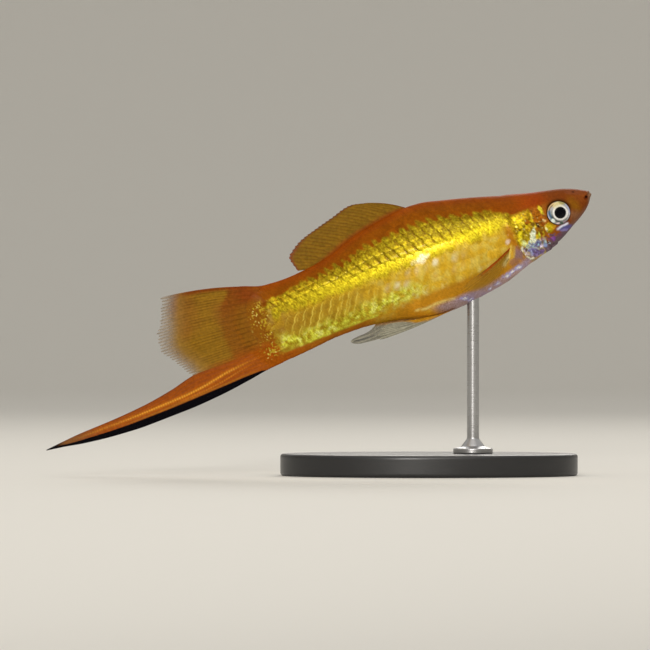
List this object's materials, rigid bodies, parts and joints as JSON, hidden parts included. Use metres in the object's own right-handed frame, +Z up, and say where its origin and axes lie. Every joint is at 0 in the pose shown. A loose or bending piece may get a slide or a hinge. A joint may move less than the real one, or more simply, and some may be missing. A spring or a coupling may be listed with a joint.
{
  "type": "swordtail fish",
  "caption": "Male swordtail, life-size still model: gold body, swept dorsal fin, fan tail with a long pointed lower sword, held nose up by a rod on a flat oval base.",
  "frame": {"origin": "centre of the underside of the stand's oval base", "axes": "+X towards the fish's head along the base's length, +Y to the fish's left, +Z up. The fish itself is pitched 21.5 degrees nose up about Y"},
  "size_m": [0.099, 0.034, 0.0521],
  "materials": {
    "skin": "glossy painted resin, gold to burnt orange",
    "eye": "clear-coated silver iris with a black pupil",
    "amber_fin": "clear amber resin with darker rays",
    "orange_fin": "clear orange resin with a black lower edge",
    "pale_fin": "clear, pale cream resin",
    "plate": "satin black",
    "steel": "satin"
  },
  "bodies": {
    "root": {"head": "skin", "trunk": "skin", "tail_stem": "skin", "eye_left": "eye", "eye_right": "eye", "dorsal_fin": "amber_fin", "caudal_fin": "amber_fin", "sword": "orange_fin", "pectoral_fin_left": "amber_fin", "pectoral_fin_right": "amber_fin", "pelvic_fin_left": "pale_fin", "pelvic_fin_right": "pale_fin", "gonopodium": "pale_fin", "stand_base": "plate", "stand_rod": "steel"}
  },
  "joints": []
}
